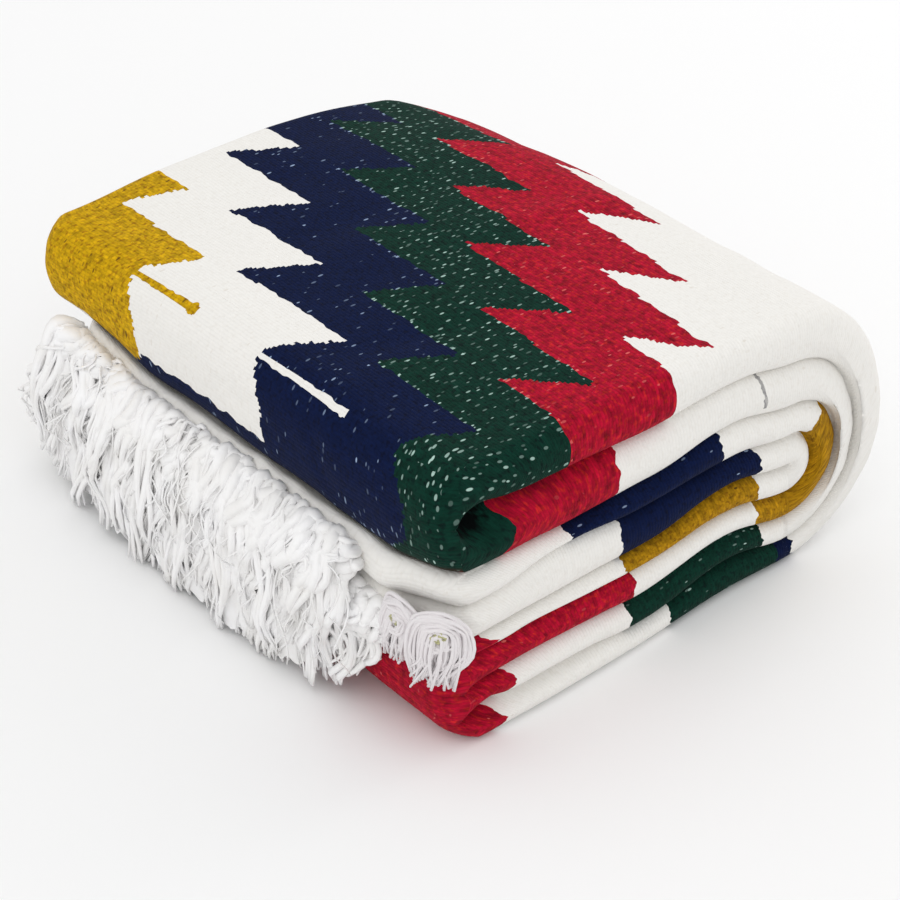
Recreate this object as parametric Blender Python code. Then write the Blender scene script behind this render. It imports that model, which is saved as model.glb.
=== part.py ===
"""A striped and serrated Mexican serape, folded into a pile and lying on a table.

The cloth is folded in quarters across its width and in eighths along its length, which makes 8 passes
of 4 layers. The passes are a to h from the top. They nest round the end at +X: a with h on the outside,
then b with g, c with f, and d with e in the middle. At the other end a turns into b, the middle fold of
the cloth, e turns into h round f and g, and c and d end in the two fringes, between those folds.

Metres, +Z up. The pile is worked out with X = 0 at the middle fold and Y = 0 halfway across, and then
everything is moved so that the origin is the bottom centre of its box.
"""
import math

import bmesh
import bpy
from mathutils import Vector

COLLECTION = "folded_serape"

CLOTH_WIDTH = 1.26
PILE_WIDTH = CLOTH_WIDTH / 4
PILE_LENGTH = 0.284
PILE_HEIGHT = 0.144
GAP = 0.0003

# Where the passes start to wrap round the end at +X, and the reach of each pass past that line,
# from the innermost turn (d with e) to the outermost (a with h).
WRAP_X = 0.220
WRAP_REACH = (0.0, 0.018, 0.036, 0.049, PILE_LENGTH - WRAP_X)

# How far down the pile each pass ends, as a share of its height, at five places along it.
PASS_COLUMNS = ("x", "a", "b", "c", "d", "e", "f", "g", "h")
PASS_TABLE = (
    (0.000, 0.170, 0.340, 0.470, 0.610, 0.660, 0.780, 0.900, 1.0),
    (0.075, 0.180, 0.375, 0.430, 0.610, 0.660, 0.775, 0.895, 1.0),
    (0.125, 0.190, 0.370, 0.455, 0.610, 0.675, 0.800, 0.910, 1.0),
    (0.180, 0.160, 0.320, 0.455, 0.560, 0.665, 0.765, 0.870, 1.0),
    (0.220, 0.190, 0.360, 0.480, 0.600, 0.710, 0.810, 0.910, 1.0),
)

ROLL_BULGE = 0.009       # how far a roll stands out past the creases beside it
NOSE_REACH = 0.022       # depth of the round ends of the two turned folds
SLOT_INSET = 0.006       # how far c and d end behind the middle fold
CREASE_DEPTH = 0.020
NOSE_BLEND = (0.016, 0.050)  # between these X, a fold's end goes from one round nose to separate rolls
# Plan radius of the corners, on the near and the far long side.
CORNER_LEFT = (0.022, 0.016)
CORNER_RIGHT = (0.012, 0.045)
CORNER_RUN = 0.090       # how far along the pile a corner's rounding dies out
FAR_LEFT_DROP = 0.04     # share of its height that the pile loses towards each far corner
FAR_RIGHT_DROP = 0.07
RIGHT_DROP = 0.04        # and towards the wrapped end all across
TOP_SWELL = 0.012
FOOT = 0.006             # how far the lowest passes spread under the near side, by the folds

STEPS_STRAIGHT = 10
STEPS_WRAP = 10
STEPS_ROLL = 6
STEPS_ACROSS = 18

FRINGE_LOCKS = 44
FRINGE_SPAN = 0.292
BACKING_HEIGHT = 0.008
BACKING_DEPTH = 0.0065
LOCK_STEPS = 7
LOCK_ROOT = 0.0036       # side of the square root of a lock
LOCK_TIP = 0.0018
LOCK_WAVE = 0.0028
LOCK_WAVES = 1.6
LOCK_WAVE_DRIFT = 0.07   # distance along the fringe over which the waves come round again
LOCK_SHORT = 0.45        # share of their fall that the locks at the near corner lose
LOCK_SPLAY = 0.010       # how far the last locks lean out past the pile's sides
TIP_CLEARANCE = 0.003
# The pass that ends in each fringe, and how far its locks stand out at the shoulder and at the tips.
FRINGES = {
    "fringe_first_end": {"end_pass": "c", "shoulder": 0.017, "reach": 0.026},
    "fringe_second_end": {"end_pass": "d", "shoulder": 0.006, "reach": 0.011},
}

# Colour and roughness of each piece.
MATERIALS = {
    "serape_cloth": ((0.80, 0.77, 0.71), 0.9),
    "fringe_first_end": ((0.78, 0.78, 0.77), 0.9),
    "fringe_second_end": ((0.78, 0.78, 0.77), 0.9),
}


def smooth(low, high, value):
    """0 below low, 1 above high, and a smooth step between them."""
    t = min(1.0, max(0.0, (value - low) / (high - low)))
    return t * t * (3 - 2 * t)


def pass_ends(x):
    """The shares of the height where passes a to h end at x, after a leading 0 for the top."""
    rows = PASS_TABLE
    x = min(max(x, rows[0][0]), rows[-1][0])
    for low, high in zip(rows, rows[1:]):
        if x <= high[0]:
            t = smooth(low[0], high[0], x)
            return [0.0] + [a + (b - a) * t for a, b in zip(low[1:], high[1:])]
    return [0.0] + list(rows[-1][1:])


def settle(x, y):
    """The pile's height at (x, y) against its nominal height: lower at the wrap and the far corners."""
    far = smooth(0.02, PILE_WIDTH / 2, y)
    left = 1 - smooth(0.0, 0.11, x)
    right = smooth(0.14, PILE_LENGTH, x)
    swell = TOP_SWELL * math.sin(math.pi * (x / PILE_LENGTH)) * math.cos(math.pi * y / PILE_WIDTH)
    return 1.0 - FAR_LEFT_DROP * far * left - (RIGHT_DROP + FAR_RIGHT_DROP * far) * right + swell


def boundary(turn, step, x):
    """(x, z) on the line between turns, counted from the core (0) to the outside (4).

    step counts stations along the outside: straight on top, round the wrap, straight below.
    """
    ends = pass_ends(min(x, WRAP_X))
    core = PILE_HEIGHT * (1 - ends[4])
    upper = PILE_HEIGHT * (1 - ends[4 - turn]) - core
    lower = core - PILE_HEIGHT * (1 - ends[4 + turn])
    if step <= STEPS_STRAIGHT:
        return x, core + upper
    if step >= STEPS_STRAIGHT + STEPS_WRAP:
        return x, core - lower
    angle = math.pi * (0.5 - (step - STEPS_STRAIGHT) / STEPS_WRAP)
    rise = upper if angle > 0 else lower
    return WRAP_X + WRAP_REACH[turn] * math.cos(angle), core + rise * math.sin(angle)


def left_end(below, turn, across):
    """X where a row of the long side ends at the fringe end: 0 is the front of the folds.

    below says which half of the pile, turn and across (0 to 1) where in it, from the core outwards.
    """
    at_edge = abs(2 * across - 1) > 0.999
    if below:
        level = (turn + across) / 4
        return NOSE_REACH * (1 - math.sqrt(max(0.0, 1 - (2 * level - 1) ** 2)))
    if turn >= 2:
        level = (turn - 2 + across) / 2
        return NOSE_REACH * (1 - math.sqrt(max(0.0, 1 - (2 * level - 1) ** 2)))
    if at_edge:
        return CREASE_DEPTH
    round_off = 1 - math.sqrt(1 - (2 * across - 1) ** 2)
    return SLOT_INSET + (CREASE_DEPTH - SLOT_INSET) * round_off


def bulge(below, turn, across, x):
    """How far the long side stands out past its creases."""
    roll = math.sqrt(max(0.0, 1 - (2 * across - 1) ** 2))
    if below:
        level = (turn + across) / 4
    elif turn >= 2:
        level = (turn - 2 + across) / 2
    else:
        return ROLL_BULGE * roll
    nose = math.sqrt(max(0.0, 1 - (2 * level - 1) ** 2))
    return ROLL_BULGE * (nose + (roll - nose) * smooth(*NOSE_BLEND, x))


def place(x, y, z):
    """A point of the pile after its corners are rounded and the cloth has settled."""
    half = PILE_WIDTH / 2
    far = y > 0
    for radius, end, inward in ((CORNER_LEFT[far], 0.0, 1), (CORNER_RIGHT[far], PILE_LENGTH, -1)):
        past = min(radius, max(0.0, abs(y) - (half - radius)))
        inset = radius - math.sqrt(radius * radius - past * past)
        x += inward * inset * (1 - smooth(0.0, CORNER_RUN, abs(x - end)))
    near_share = max(0.0, -y / half) ** 2
    y -= FOOT * near_share * (1 - z / PILE_HEIGHT) * (1 - smooth(0.05, 0.20, x))
    return Vector((x, y, z * settle(x, y)))


def cloth_mesh():
    """The folded cloth as one closed solid, lofted between its creased long sides."""
    bm = bmesh.new()
    steps = 2 * STEPS_STRAIGHT + STEPS_WRAP
    wrap_end = STEPS_STRAIGHT + STEPS_WRAP
    shares = [(1 - math.cos(math.pi * i / STEPS_ROLL)) / 2 for i in range(STEPS_ROLL)]
    rows = [(turn, share) for turn in range(4) for share in shares] + [(3, 1.0)]
    flat_half = PILE_WIDTH / 2 - ROLL_BULGE

    def side_point(side, step, row):
        turn, across = rows[row]
        below = step >= wrap_end
        straight = step if step <= STEPS_STRAIGHT else steps - step
        start = left_end(below, turn, across)
        if STEPS_STRAIGHT < step < wrap_end:
            x = WRAP_X
        else:
            run = straight / STEPS_STRAIGHT
            x = start + (WRAP_X - start) * (0.35 * run * run + 0.65 * run)
        inner = boundary(turn, step, x)
        outer = boundary(turn + 1, step, x)
        px = inner[0] + (outer[0] - inner[0]) * across
        pz = inner[1] + (outer[1] - inner[1]) * across
        return px, side * (flat_half + bulge(below, turn, across, px)), pz

    sides = {}
    for side in (-1, 1):
        grid = {}
        for step in range(steps + 1):
            for row in range(len(rows)):
                if row == 0 and step > STEPS_STRAIGHT:
                    grid[step, row] = grid[min(STEPS_STRAIGHT, steps - step), 0]
                    continue
                grid[step, row] = bm.verts.new(place(*side_point(side, step, row)))
        sides[side] = grid
        for step in range(steps):
            for row in range(len(rows) - 1):
                quad = [grid[step, row], grid[step + 1, row], grid[step + 1, row + 1], grid[step, row + 1]]
                corners = list(dict.fromkeys(quad))
                bm.faces.new(corners if side < 0 else corners[::-1])

    def strip(near, far, point):
        """Vertices of one line across the pile, from the near side's vertex to the far one's."""
        x, y, z = point
        line = [near]
        for i in range(1, STEPS_ACROSS):
            share = -math.cos(math.pi * i / STEPS_ACROSS)
            line.append(bm.verts.new(place(x, abs(y) * share, z)))
        return line + [far]

    def skin(lines):
        for first, second in zip(lines, lines[1:]):
            for i in range(STEPS_ACROSS):
                bm.faces.new((first[i], first[i + 1], second[i + 1], second[i]))

    top = len(rows) - 1
    outside = [
        strip(sides[-1][step, top], sides[1][step, top], side_point(-1, step, top))
        for step in range(steps + 1)
    ]
    skin(outside[::-1])
    end_rows = [(0, row) for row in range(top - 1, -1, -1)] + [(steps, row) for row in range(1, top)]
    inner = [strip(sides[-1][key], sides[1][key], side_point(-1, *key)) for key in end_rows]
    skin([outside[0]] + inner + [outside[-1]])
    return bm


def lock_path(root, shoulder, reach, index):
    """Centre points of one lock of fringe: out of its backing, over a shoulder, and down in soft waves."""
    lean = LOCK_SPLAY * (2 * abs(root.y) / FRINGE_SPAN) ** 5 * math.copysign(1, root.y)
    fall = root.z - TIP_CLEARANCE - LOCK_TIP
    corner = smooth(0.30, 0.50, -root.y / PILE_WIDTH)
    length_share = (0.90 + 0.10 * math.sin(2.4 * index)) * (1 - LOCK_SHORT * corner)
    drift = 2 * math.pi * root.y / LOCK_WAVE_DRIFT
    points = []
    for step in range(1, LOCK_STEPS + 1):
        t = step / LOCK_STEPS
        out = shoulder * math.sin(min(1.0, 2.6 * t) * math.pi / 2) + (reach - shoulder) * t
        down = fall * length_share * t**1.6
        wave = LOCK_WAVE * t * math.sin(2 * math.pi * LOCK_WAVES * t + drift)
        points.append(root + Vector((-out + 0.5 * wave, lean * t + wave, -down)))
    return points


def grow_lock(bm, face, points):
    """Extrude one face of the backing along the lock's points, turning and tapering as it goes."""
    centre = face.calc_center_median()
    signs = [(math.copysign(1, v.co.y - centre.y), math.copysign(1, v.co.z - centre.z)) for v in face.verts]
    line = [centre] + points + [2 * points[-1] - points[-2]]
    for step in range(1, len(points) + 1):
        along = (line[step + 1] - line[step - 1]).normalized()
        first = (Vector((0, 1, 0)) - along * along.y).normalized()
        second = first.cross(along)
        half = (LOCK_ROOT + (LOCK_TIP - LOCK_ROOT) * step / len(points)) / 2
        face = bmesh.ops.extrude_discrete_faces(bm, faces=[face])["faces"][0]
        for vert, (u, v) in zip(face.verts, signs):
            vert.co = line[step] + first * (u * half) + second * (v * half)


def fringe_mesh(end_pass, shoulder, reach):
    """A backing strip along one end of the cloth, with its locks grown out of its outer face."""
    column = PASS_COLUMNS.index(end_pass)
    ends = pass_ends(0.0)
    middle = PILE_HEIGHT * (1 - (ends[column - 1] + ends[column]) / 2)
    outer_x = SLOT_INSET - GAP - BACKING_DEPTH
    bm = bmesh.new()
    bmesh.ops.create_grid(bm, x_segments=FRINGE_LOCKS, y_segments=1, size=0.5)
    for vert in bm.verts:
        vert.co = Vector((outer_x, -vert.co.x * FRINGE_SPAN, middle + vert.co.y * BACKING_HEIGHT))
    front = list(bm.faces)
    back = bmesh.ops.extrude_face_region(bm, geom=front, use_keep_orig=True)["geom"]
    for vert in (item for item in back if isinstance(item, bmesh.types.BMVert)):
        vert.co.x += BACKING_DEPTH
    bmesh.ops.recalc_face_normals(bm, faces=bm.faces)
    for index, cell in enumerate(front):
        bmesh.ops.inset_individual(bm, faces=[cell], thickness=(FRINGE_SPAN / FRINGE_LOCKS - LOCK_ROOT) / 2)
        root = cell.calc_center_median()
        for vert in cell.verts:
            vert.co.z = root.z + math.copysign(LOCK_ROOT / 2, vert.co.z - root.z)
        grow_lock(bm, cell, lock_path(root, shoulder, reach, index))
    return bm


def add_object(name, bm, collection):
    """A named object from a finished bmesh, which it frees, with its own material."""
    mesh = bpy.data.meshes.new(name)
    bm.to_mesh(mesh)
    bm.free()
    mesh.shade_smooth()
    mesh.set_sharp_from_angle(angle=math.radians(50))
    colour, roughness = MATERIALS[name]
    material = bpy.data.materials.new(name)
    material.use_nodes = True
    shader = material.node_tree.nodes["Principled BSDF"]
    shader.inputs["Base Color"].default_value = (*colour, 1)
    shader.inputs["Roughness"].default_value = roughness
    mesh.materials.append(material)
    obj = bpy.data.objects.new(name, mesh)
    collection.objects.link(obj)
    return obj


def main():
    for obj in list(bpy.data.objects):
        bpy.data.objects.remove(obj, do_unlink=True)
    collection = bpy.data.collections.new(COLLECTION)
    bpy.context.scene.collection.children.link(collection)
    pieces = [add_object("serape_cloth", cloth_mesh(), collection)]
    for name, shape in FRINGES.items():
        pieces.append(add_object(name, fringe_mesh(**shape), collection))
    corners = [vert.co for piece in pieces for vert in piece.data.vertices]
    low = [min(c[axis] for c in corners) for axis in range(3)]
    high = [max(c[axis] for c in corners) for axis in range(3)]
    offset = Vector((-(low[0] + high[0]) / 2, -(low[1] + high[1]) / 2, -low[2]))
    for piece in pieces:
        for vert in piece.data.vertices:
            vert.co += offset
        print(piece.name, len(piece.data.polygons))
    print("offset of the pile", offset)
    return offset


main()
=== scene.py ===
"""The looks of the folded serape: woven cloth with its serrated bands, and the two yarn fringes.

Metres, +Z up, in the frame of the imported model. The cloth is worked out like its solid, with X = 0 at the
middle fold and Y = 0 halfway across, and then moved to where the frame has it.
"""
import math
import random

import bmesh
import bpy
from mathutils import Matrix, Vector, noise


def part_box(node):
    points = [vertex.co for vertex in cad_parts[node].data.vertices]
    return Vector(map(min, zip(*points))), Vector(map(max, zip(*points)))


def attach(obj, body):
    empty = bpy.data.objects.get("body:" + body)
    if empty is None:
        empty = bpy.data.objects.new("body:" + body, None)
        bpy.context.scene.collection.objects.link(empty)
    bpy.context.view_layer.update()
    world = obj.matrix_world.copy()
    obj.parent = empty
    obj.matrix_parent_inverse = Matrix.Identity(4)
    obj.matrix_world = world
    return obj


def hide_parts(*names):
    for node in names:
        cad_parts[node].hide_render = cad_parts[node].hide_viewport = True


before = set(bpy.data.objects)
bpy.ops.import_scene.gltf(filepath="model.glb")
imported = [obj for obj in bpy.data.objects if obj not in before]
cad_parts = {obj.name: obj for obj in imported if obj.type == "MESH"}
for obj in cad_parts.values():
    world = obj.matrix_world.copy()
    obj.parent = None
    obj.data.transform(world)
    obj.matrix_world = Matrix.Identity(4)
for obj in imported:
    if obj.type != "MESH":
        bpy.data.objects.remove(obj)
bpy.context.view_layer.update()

# Driving sizes of the pile, the same as the solid's.
PILE_WIDTH = 0.315
PILE_LENGTH = 0.284
PILE_HEIGHT = 0.144
WRAP_X = 0.220
WRAP_SWELL = 0.005       # how far the outer layers have opened past the solid at the wrap
WRAP_REACH = (0.0, 0.018, 0.036, 0.049, PILE_LENGTH - WRAP_X + WRAP_SWELL)
PASS_COLUMNS = ("x", "a", "b", "c", "d", "e", "f", "g", "h")
PASS_TABLE = (
    (0.000, 0.170, 0.340, 0.470, 0.610, 0.660, 0.780, 0.900, 1.0),
    (0.075, 0.180, 0.375, 0.430, 0.610, 0.660, 0.775, 0.895, 1.0),
    (0.125, 0.190, 0.370, 0.455, 0.610, 0.675, 0.800, 0.910, 1.0),
    (0.180, 0.160, 0.320, 0.455, 0.560, 0.665, 0.765, 0.870, 1.0),
    (0.220, 0.190, 0.360, 0.480, 0.600, 0.710, 0.810, 0.910, 1.0),
)
ROLL_BULGE = 0.009
NOSE_REACH = 0.022
NOSE_POWER = 2.4         # 2 is an ellipse, and more is blunter
SLOT_INSET = 0.006
CREASE_DEPTH = 0.020
NOSE_BLEND = (-0.004, 0.017)
CORNER_LEFT = (0.015, 0.016)
LIP_DROP = 0.0115        # how far the middle fold's lower lip hangs over the fringes
LIP_LEVELS = (0.17, 0.34, 0.47, 0.61)  # down from the top: its front, the lip, the slot and the lower fold
LIP_START = (0.030, 0.105)
LIP_END = (0.270, 0.3155)
FAR_SLOT_INSET = 0.017   # how far the woven ends are set back at the far side
FAR_SLOT_RUN = (0.014, 0.046)
LOW_CORNER = 0.010       # extra rounding of the lower fold's far corner
CORNER_RIGHT = (0.012, 0.045)
CORNER_RUN = 0.090
SLOT_LEVELS = (0.33, 0.36, 0.59, 0.63)  # where the slot opens and closes, down from the top
FAR_LEFT_DROP = 0.04
FAR_RIGHT_DROP = 0.07
RIGHT_DROP = 0.04
TOP_SWELL = 0.012
FOOT = 0.006

# How finely the shell is divided.
STEPS_STRAIGHT = 112
STEPS_WRAP = 44
STEPS_ROLL = 14
STEPS_ACROSS = 124
SLOT_MARGIN = 14         # steps in from either side where the slot behind the fringes opens

# The cloth's own coordinates: along the warp from the nose's front, and along the weft from the far side.
NOSE_ARC = 0.0366        # from the front of the nose up to where the top runs flat
ROLL_ARC = 0.028         # along the weft round one roll of the long sides
PATTERN_ROLL = 0.011     # how far down the outer rolls the serrated bands change
WRAP_SPAN = 0.080        # the wrap's share of the stations that the side bands are given in
STATIONS = 2 * WRAP_X + WRAP_SPAN

# Yarns, in sRGB: colour, the second tone of its lumps, the warp flecks, how many flecks show, and
# how mottled the yarn is.
YARN_COLUMNS = ("name", "colour", "second", "fleck", "fleck_share", "mottle")
YARNS = (
    ("mustard", (0.775, 0.610, 0.045), (0.590, 0.400, 0.040), (0.36, 0.25, 0.07), 0.50, 0.75),
    ("white", (0.930, 0.922, 0.905), (0.912, 0.900, 0.878), (0.88, 0.86, 0.83), 0.08, 0.035),
    ("navy", (0.035, 0.085, 0.225), (0.025, 0.050, 0.150), (0.60, 0.68, 0.80), 0.22, 0.45),
    ("green", (0.032, 0.185, 0.145), (0.018, 0.095, 0.090), (0.68, 0.80, 0.76), 0.70, 0.60),
    ("red", (0.645, 0.045, 0.165), (0.740, 0.150, 0.130), (0.88, 0.42, 0.40), 0.22, 0.95),
    ("ochre", (0.665, 0.490, 0.065), (0.500, 0.335, 0.050), (0.34, 0.24, 0.07), 0.50, 0.80),
)
YARN_NAMES = [row[0] for row in YARNS]
YARN_SLOTS = 8           # places on the yarn ramps

# The serrated bands, as a maker charts them: mirrored about an axis along the weft just behind the nose,
# each band 0.1 m further along it than the one before, with long teeth that lean towards the wrap.
AXIS = 0.0238
# Bands: yarn and start, the length and share of a tooth, the length, lean, pitch and shear of its teeth on
# the nose, and how far the far side of its first tooth is drawn out.
BANDS = (
    ("white", 0.076, 0.0390, 0.300, 0.0560, 0.5790, 0.097, 0.0, 0.0115),
    ("navy", 0.177, 0.0488, 0.455, 0.0360, 0.3715, 0.097, 2.0, 0.0105),
    ("green", 0.278, 0.0460, 0.410, 0.0465, 0.6290, 0.074, 1.6, 0.0),
    ("red", 0.381, 0.0480, 0.590, 0.0490, 0.6060, 0.081, 0.0, 0.0),
    ("white", 0.497, 0.0480, 0.650, 0.0490, 0.6060, 0.081, 0.0, 0.0),
)
FAR_SHIFT_RUN = 0.045    # the length along the weft over which a band's first tooth is drawn out
TOOTH_PITCH = 0.0536     # between teeth, along the weft
BAND_LEAN = 0.608        # warp per weft along a band
NOSE_DRIFT = 0.0125      # how far the nose's straight flanks shift towards the near side, at the front
NOSE_DRIFT_RUN = 0.024
NOSE_SHEAR_FROM = 0.036  # how far from the axis the nose's lower teeth start to slant
AXIS_MARGIN = 0.0024     # the top's teeth start this far behind the axis
SIDE_MARGIN = 0.0004     # and on the outer rolls, where the nose's teeth don't reach, this far
FAR_STRIP = (0.042, -0.0165)    # a white strip under the nose's far end: its length and upper edge
LIP_SHADE = (-0.0156, -0.0213)  # where painted shade starts under the lip, at the far side and past its sag
LIP_SHADE_RUN = 0.0022
LIP_SHADE_STRENGTH = 0.85
# The colour of the painted shade under the nose's lower lip.
LIP_SHADE_COLOUR = (0.17, 0.12, 0.07)
SLUB_COLOUR = (0.36, 0.36, 0.38)
SLUB_STATION = 0.1940
SLUB_TURNS = (2.28, 3.00)
SLUB_LEAN = 0.004
SLUB_HALF_WIDTH = 0.0011
SLUB_UNEVEN = 0.0030
CLUSTER = (0.030, 0.300)  # warp and weft of the larger flecks at the nose's near corner
CLUSTER_RADII = (0.017, 0.021)
HOLLOW_DEPTH = 0.0105    # the pit between the two upper rolls at the near corner
HOLLOW_AT = (0.019, 2.88)
HOLLOW_RADII = (0.0100, 0.27)
# Painted shade, near black, in the middle of the pit.
HOLLOW_SHADE_COLOUR = (0.012, 0.030, 0.030)
CREASE_OPEN = 0.0052     # how much deeper the crease behind the pit is
CREASE_OPEN_RUN = (0.050, 0.120)
CREASE_OPEN_AT = (2.97, 0.13)  # the turn it lies on and how wide it is
STEM_SPREAD = 0.012
STEM_FORWARD = 0.0008    # how far in front of the axis the stems lie
# Stems along the axis: yarn, start, length, half width and the radius of the blob at the end.
STEMS = (("mustard", 0.076, 0.053, 0.0015, 0.0036), ("white", 0.177, 0.066, 0.0013, 0.0025))

# Colours along each turn of the long sides, as the station where each ends: the upper pass from the
# fringe end to the wrap, round it, and back along the lower pass.
NEAR_BANDS = (
    (("white", 0.105), ("navy", 0.197), ("white", 0.3215), ("ochre", 0.4115), ("white", 0.500),
     ("red", STATIONS)),
    (("white", 0.073), ("navy", 0.170), ("white", 0.236), ("ochre", 0.321), ("white", 0.405),
     ("red", STATIONS)),
    (("green", 0.0315), ("red", 0.103), ("white", 0.3164), ("green", 0.408), ("white", 0.4860),
     ("red", STATIONS)),
    (("white", 0.296), ("navy", 0.304), ("green", 0.379), ("white", 0.4940), ("red", STATIONS)),
)
FAR_BANDS = (
    (("white", 0.060), ("navy", 0.130), ("green", 0.205), ("white", 0.330), ("red", 0.410),
     ("white", STATIONS)),
    (("white", 0.055), ("red", 0.120), ("white", 0.290), ("green", 0.370), ("navy", 0.440),
     ("white", STATIONS)),
    (("ochre", 0.050), ("white", 0.118), ("navy", 0.182), ("green", 0.250), ("white", 0.390),
     ("navy", 0.460), ("white", STATIONS)),
    (("white", 0.310), ("red", 0.372), ("green", 0.430), ("white", STATIONS)),
)
# Colours across the front of the lower fold, as the distance from the far side where each ends.
FOLD_BANDS = (("white", 0.070), ("green", 0.150), ("red", 0.400))

# The weave, as sizes and as scales of noise in lumps per metre.
FLECK_SIZE = (0.00125, 0.00052)  # half the length and width of a fleck
PICK = 0.0018            # one pass of the weft
WARP_GAP = 0.0036        # between warp ends
LUMP_SCALE = 260.0
SPOT_SCALE = 420.0
PATCH_SCALE = 26.0
# The ragged edge of the painted shade in the pit.
HOLLOW_SHADE_RAGGED = 330.0
TONE_RUN = 0.05          # the length of weft that keeps one tone
BUMP = 0.0009
RAGGED_WARP = 0.0042     # how unevenly the bands turn, along the warp, the weft and the long sides
RAGGED_WEFT = 0.0022
RAGGED_SIDE = 0.009
JOIN_REACH = 0.045       # how near a band's edge counts as its join, as a share of a tooth
FLECKED_JOINS = ("green", "red")

# Plain values of the shaders.
CLOTH_SHADER = {"Roughness": 0.95, "Specular IOR Level": 0.08, "Sheen Weight": 0.02, "Sheen Roughness": 0.5}
YARN_SHADER = {"Roughness": 0.95, "Specular IOR Level": 0.1, "Sheen Weight": 0.1, "Sheen Roughness": 0.5}
FLOOR_SHADER = {"Base Color": (0.93, 0.93, 0.93, 1), "Roughness": 0.8}
YARN_COLOURS = ((0.945, 0.940, 0.933), (0.974, 0.972, 0.974))
CORE_COLOUR = (0.74, 0.73, 0.56)
TASSEL_COLOUR = (0.905, 0.888, 0.893)

CAMERA_AZIMUTH = -40.05
CAMERA_ELEVATION = 34.35
CAMERA_LENS = 101.1
CAMERA_PLACE = (-0.5433, -0.8104, 0.7451)
SENSOR_WIDTH = 36
FLOOR_SIZE = 8.0
# Lights: name, place, target, size and power.
LIGHTS = (
    ("key", (-0.9, -0.5, 1.9), (0, 0, 0.06), 2.6, 8.4),
    ("fill", (1.9, 0.05, 0.8), (0.1, 0, 0.06), 1.4, 6.0),
)
SKY_STRENGTH = 0.90

cloth_low, cloth_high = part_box("serape_cloth")
PILE_ORIGIN = Vector((cloth_low.x, cloth_high.y - PILE_WIDTH / 2, cloth_low.z))


def smooth(low, high, value):
    """0 below low, 1 above high, and a smooth step between them."""
    t = min(1.0, max(0.0, (value - low) / (high - low)))
    return t * t * (3 - 2 * t)


def linear(colour):
    """An sRGB colour as the linear RGBA that a shader takes."""
    return tuple(c / 12.92 if c <= 0.04045 else ((c + 0.055) / 1.055) ** 2.4 for c in colour) + (1.0,)


def pass_ends(x):
    """The shares of the height where passes a to h end at x, after a leading 0 for the top."""
    rows = PASS_TABLE
    x = min(max(x, rows[0][0]), rows[-1][0])
    for low, high in zip(rows, rows[1:]):
        if x <= high[0]:
            t = smooth(low[0], high[0], x)
            return [0.0] + [a + (b - a) * t for a, b in zip(low[1:], high[1:])]
    return [0.0] + list(rows[-1][1:])


def settle(x, y):
    """The pile's height at (x, y) against its nominal height: lower at the wrap and the far corners."""
    far = smooth(0.02, PILE_WIDTH / 2, y)
    left = 1 - smooth(0.0, 0.11, x)
    right = smooth(0.14, PILE_LENGTH, x)
    swell = TOP_SWELL * math.sin(math.pi * (x / PILE_LENGTH)) * math.cos(math.pi * y / PILE_WIDTH)
    return 1.0 - FAR_LEFT_DROP * far * left - (RIGHT_DROP + FAR_RIGHT_DROP * far) * right + swell


def boundary(turn, step, x):
    """(x, z) on the line between turns, counted from the core (0) to the outside (4)."""
    ends = pass_ends(min(x, WRAP_X))
    core = PILE_HEIGHT * (1 - ends[4])
    upper = PILE_HEIGHT * (1 - ends[4 - turn]) - core
    lower = core - PILE_HEIGHT * (1 - ends[4 + turn])
    if step <= STEPS_STRAIGHT:
        return x, core + upper
    if step >= STEPS_STRAIGHT + STEPS_WRAP:
        return x, core - lower
    angle = math.pi * (0.5 - (step - STEPS_STRAIGHT) / STEPS_WRAP)
    rise = upper if angle > 0 else lower
    return WRAP_X + WRAP_REACH[turn] * math.cos(angle), core + rise * math.sin(angle)


def round_nose(level):
    """How far the middle fold's front stands out at a level of it, from 0 to 1 of its reach."""
    return (1 - min(1.0, abs(2 * level - 1)) ** NOSE_POWER) ** (1 / NOSE_POWER)


def left_end(below, turn, across):
    """X where a row of the long side ends at the fringe end: 0 is the front of the folds."""
    if below:
        level = (turn + across) / 4
        return NOSE_REACH * (1 - math.sqrt(max(0.0, 1 - (2 * level - 1) ** 2)))
    if turn >= 2:
        return NOSE_REACH * (1 - round_nose((turn - 2 + across) / 2))
    if abs(2 * across - 1) > 0.999:
        return CREASE_DEPTH
    round_off = 1 - math.sqrt(1 - (2 * across - 1) ** 2)
    return SLOT_INSET + (CREASE_DEPTH - SLOT_INSET) * round_off


def bulge(below, turn, across, x, side):
    """How far the long side stands out past its creases."""
    roll = math.sqrt(max(0.0, 1 - (2 * across - 1) ** 2))
    if below:
        level = (turn + across) / 4
    elif turn >= 2:
        level = (turn - 2 + across) / 2
    else:
        return ROLL_BULGE * roll
    nose = math.sqrt(max(0.0, 1 - (2 * level - 1) ** 2))
    out = ROLL_BULGE * (nose + (roll - nose) * smooth(*NOSE_BLEND, x))
    if side > 0:
        return out
    at = turn + across
    off = ((x - HOLLOW_AT[0]) / HOLLOW_RADII[0]) ** 2 + ((at - HOLLOW_AT[1]) / HOLLOW_RADII[1]) ** 2
    behind = smooth(0.010, 0.024, x) * (1 - smooth(*CREASE_OPEN_RUN, x))
    middle, width = CREASE_OPEN_AT
    deeper = CREASE_OPEN * behind * math.exp(-(((at - middle) / width) ** 2))
    return out - max(HOLLOW_DEPTH * math.exp(-off), deeper)


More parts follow.
